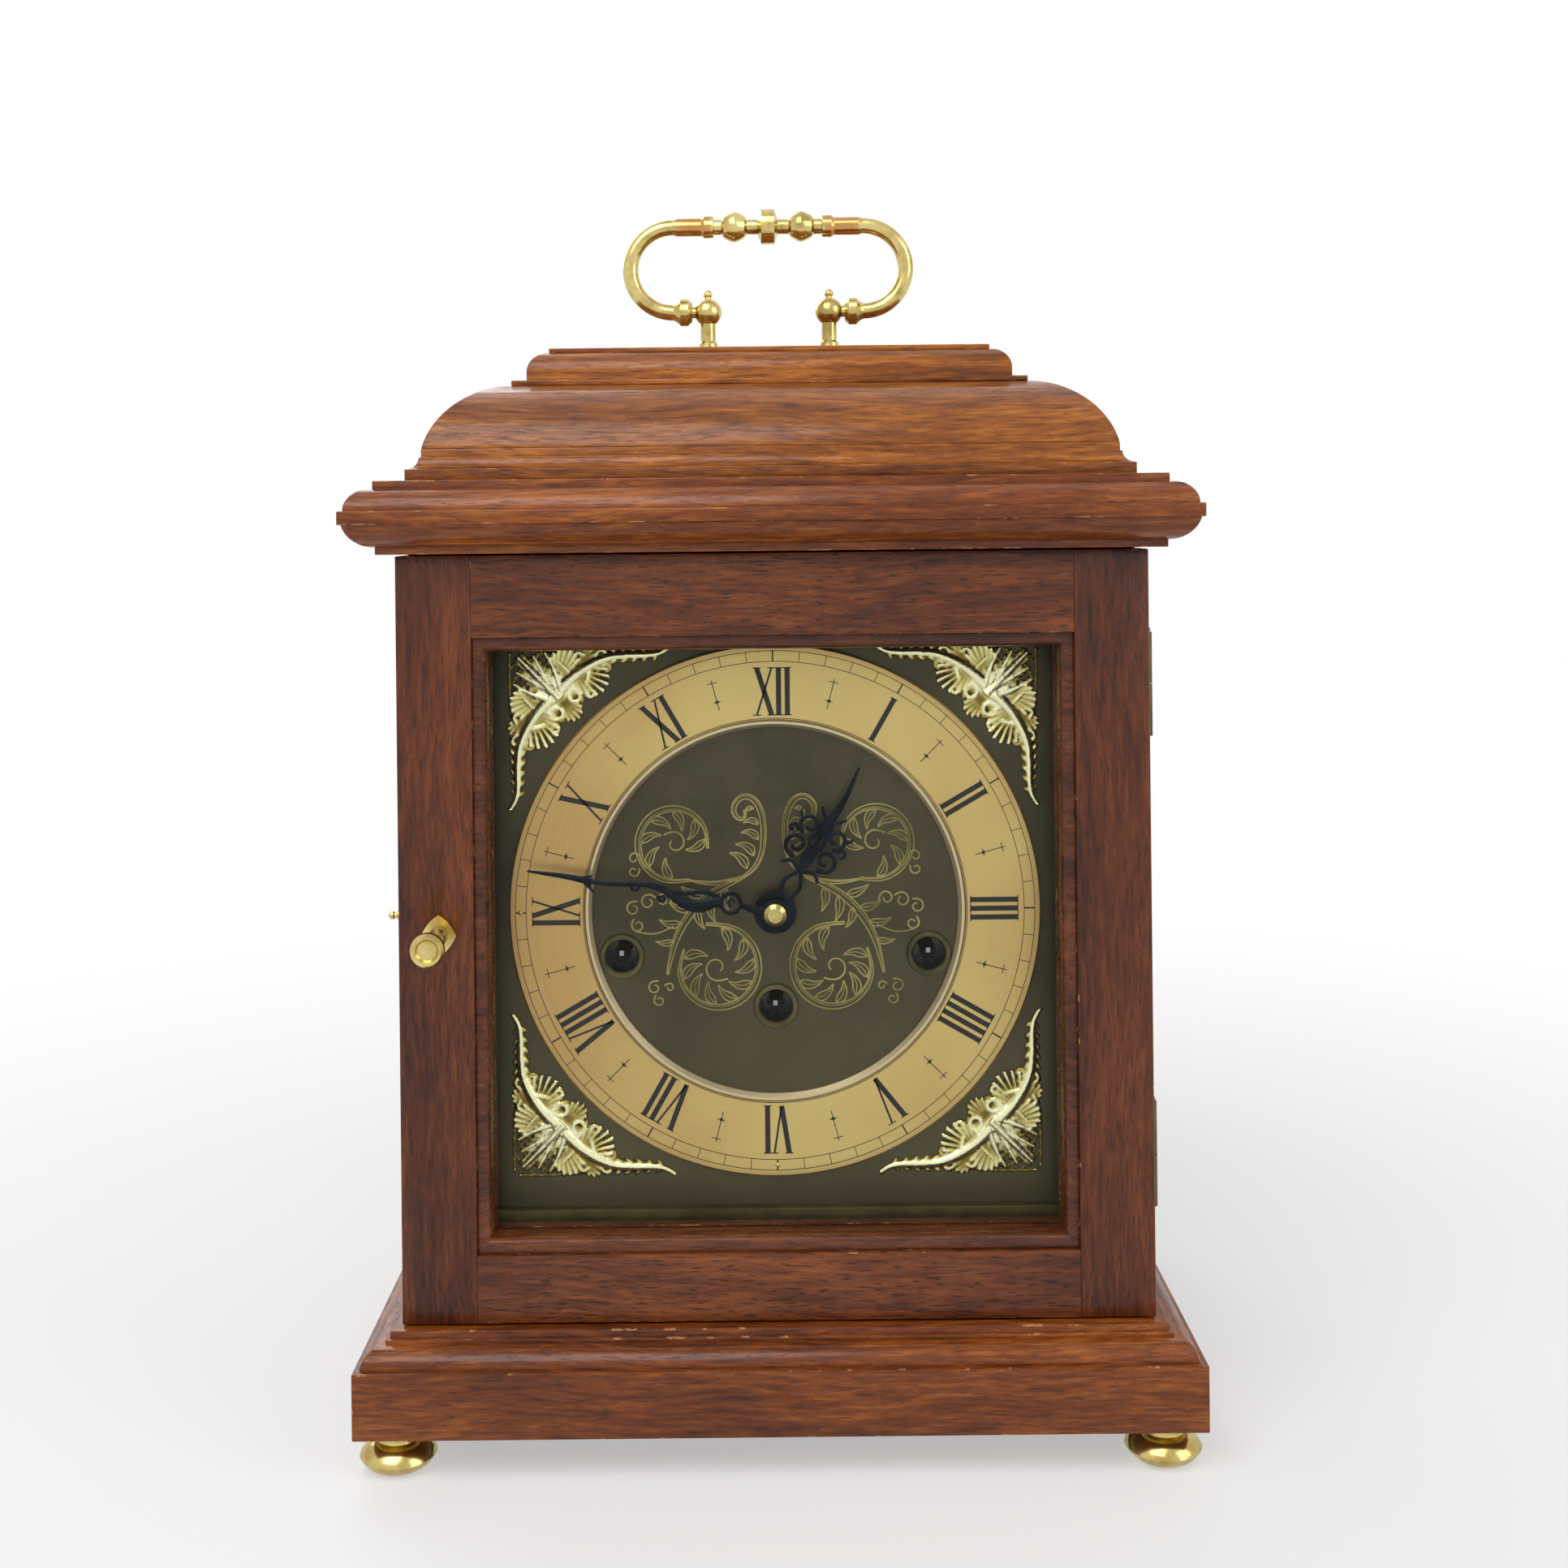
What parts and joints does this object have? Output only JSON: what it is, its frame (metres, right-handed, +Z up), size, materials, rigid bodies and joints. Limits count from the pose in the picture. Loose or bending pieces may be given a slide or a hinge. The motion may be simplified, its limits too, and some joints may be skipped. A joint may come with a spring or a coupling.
{
  "type": "bracket clock",
  "caption": "Table clock in a moulded wooden case with a bell top, a bail handle, a glazed front door, a square dial with a chapter ring, pierced hands and winding squares.",
  "frame": {"origin": "middle of the surface that the feet stand on, under the middle of the plinth", "axes": "+Z up, -Y towards the viewer of the dial, +X to the viewer's right"},
  "size_m": [0.2528, 0.1926, 0.3838],
  "materials": {
    "case_wood": "polished mahogany",
    "door_wood": "polished dark mahogany",
    "carcass_wood": "waxed oak",
    "polished_brass": "polished",
    "dial_brass": "dark matted",
    "ring_brass": "satin gilt",
    "cast_brass": "cast, burnished",
    "blued_steel": "fire blued steel",
    "movement_brass": "lacquered",
    "movement_steel": "polished steel",
    "gong_iron": "black",
    "clear_glass": "clear"
  },
  "bodies": {
    "case": {"plinth_frame": "case_wood", "bottom_board": "carcass_wood", "bun_feet": "polished_brass", "side_left": "case_wood", "side_right": "case_wood", "back_rails": "carcass_wood", "top_board": "carcass_wood", "cornice_moulding": "case_wood", "bell_step_moulding": "case_wood", "bell_dome": "case_wood", "cap_moulding": "case_wood", "cap_plate": "case_wood", "handle_posts": "polished_brass", "hinge_pins": "polished_brass", "front_hinge_case_leaves": "polished_brass", "back_hinge_case_leaves": "polished_brass", "dial_mat": "carcass_wood", "dial_plate": "dial_brass", "chapter_ring": "ring_brass", "spandrels": "cast_brass", "winding_bushes": "polished_brass", "movement_front_plate": "movement_brass", "movement_back_plate": "movement_brass", "seat_board": "carcass_wood", "seat_blocks": "carcass_wood", "gong_block_and_rods": "gong_iron"},
    "front_door": {"door_stile_left": "door_wood", "door_stile_right": "door_wood", "door_rail_top": "door_wood", "door_rail_bottom": "door_wood", "glazing_bead": "door_wood", "door_glass": "clear_glass", "glass_retainer": "door_wood", "front_hinge_door_leaves": "polished_brass", "knob_rose": "polished_brass", "door_edge_stud": "polished_brass"},
    "door_latch": {"door_knob": "polished_brass", "latch_tongue": "polished_brass"},
    "back_door": {"back_door_frame": "carcass_wood", "back_door_glass": "clear_glass", "back_door_knob": "polished_brass", "back_hinge_door_leaves": "polished_brass"},
    "bail": {"bail_handle": "polished_brass"},
    "minute_work": {"centre_arbor": "movement_steel", "cannon_pinion": "movement_steel", "minute_hand": "blued_steel", "hand_nut": "polished_brass"},
    "minute_wheel": {"minute_wheel": "movement_brass"},
    "hour_work": {"hour_wheel": "movement_brass", "hour_hand": "blued_steel"},
    "going_barrel": {"going_barrel": "movement_brass"},
    "strike_barrel": {"strike_barrel": "movement_brass"},
    "chime_barrel": {"chime_barrel": "movement_brass"},
    "going_arbor": {"going_winding_arbor": "movement_steel"},
    "strike_arbor": {"strike_winding_arbor": "movement_steel"},
    "chime_arbor": {"chime_winding_arbor": "movement_steel"},
    "pendulum": {"anchor_arbor": "movement_steel", "pendulum_rod": "movement_steel", "pendulum_bob": "movement_brass"},
    "hour_hammer": {"hour_hammer": "movement_steel"}
  },
  "joints": [
    {"name": "front_door_hinge", "type": "hinge", "parent": "case", "child": "front_door", "pos_m": [0.1147, -0.0545, 0.15525], "axis": [0, 0, 1], "range_deg": [0, 100]},
    {"name": "latch_turn", "type": "hinge", "parent": "front_door", "child": "door_latch", "pos_m": [-0.1001, -0.0747, 0.1568], "axis": [0, -1, 0], "range_deg": [0, 90]},
    {"name": "back_door_hinge", "type": "hinge", "parent": "case", "child": "back_door", "pos_m": [0.10295, 0.0772, 0.15525], "axis": [0, 0, -1], "range_deg": [0, 100]},
    {"name": "bail_swing", "type": "hinge", "parent": "case", "child": "bail", "pos_m": [0, 0, 0.3492], "axis": [1, 0, 0], "range_deg": [-100, 100]},
    {"name": "going_barrel_turn", "type": "hinge", "parent": "case", "child": "going_barrel", "pos_m": [0, -0.0171, 0.1284], "axis": [0, 1, 0], "continuous": true},
    {"name": "minute_hand_turn", "type": "hinge", "parent": "case", "child": "minute_work", "pos_m": [0, -0.0347, 0.1584], "axis": [0, 1, 0], "continuous": true},
    {"name": "minute_wheel_turn", "type": "hinge", "parent": "case", "child": "minute_wheel", "pos_m": [0.015, -0.0377, 0.1584], "axis": [0, 1, 0], "continuous": true},
    {"name": "hour_hand_turn", "type": "hinge", "parent": "case", "child": "hour_work", "pos_m": [0, -0.0407, 0.1584], "axis": [0, 1, 0], "continuous": true},
    {"name": "strike_barrel_turn", "type": "hinge", "parent": "case", "child": "strike_barrel", "pos_m": [-0.0476, -0.0171, 0.1443], "axis": [0, 1, 0], "continuous": true},
    {"name": "chime_barrel_turn", "type": "hinge", "parent": "case", "child": "chime_barrel", "pos_m": [0.0476, -0.0171, 0.1443], "axis": [0, 1, 0], "continuous": true},
    {"name": "going_wind", "type": "hinge", "parent": "case", "child": "going_arbor", "pos_m": [0, -0.0347, 0.1284], "axis": [0, 1, 0], "continuous": true},
    {"name": "strike_wind", "type": "hinge", "parent": "case", "child": "strike_arbor", "pos_m": [-0.0476, -0.0347, 0.1443], "axis": [0, 1, 0], "continuous": true},
    {"name": "chime_wind", "type": "hinge", "parent": "case", "child": "chime_arbor", "pos_m": [0.0476, -0.0347, 0.1443], "axis": [0, 1, 0], "continuous": true},
    {"name": "pendulum_swing", "type": "hinge", "parent": "case", "child": "pendulum", "pos_m": [0, 0.0185, 0.2104], "axis": [0, 1, 0], "range_deg": [-5, 5]},
    {"name": "hammer_strike", "type": "hinge", "parent": "case", "child": "hour_hammer", "pos_m": [-0.045, 0.0215, 0.1213], "axis": [1, 0, 0], "range_deg": [0, 5.5]}
  ],
  "couplings": [
    {"joint": "minute_hand_turn", "follows": "going_barrel_turn", "ratio": -6.5},
    {"joint": "minute_wheel_turn", "follows": "going_barrel_turn", "ratio": 2.1667},
    {"joint": "hour_hand_turn", "follows": "going_barrel_turn", "ratio": -0.54167}
  ]
}
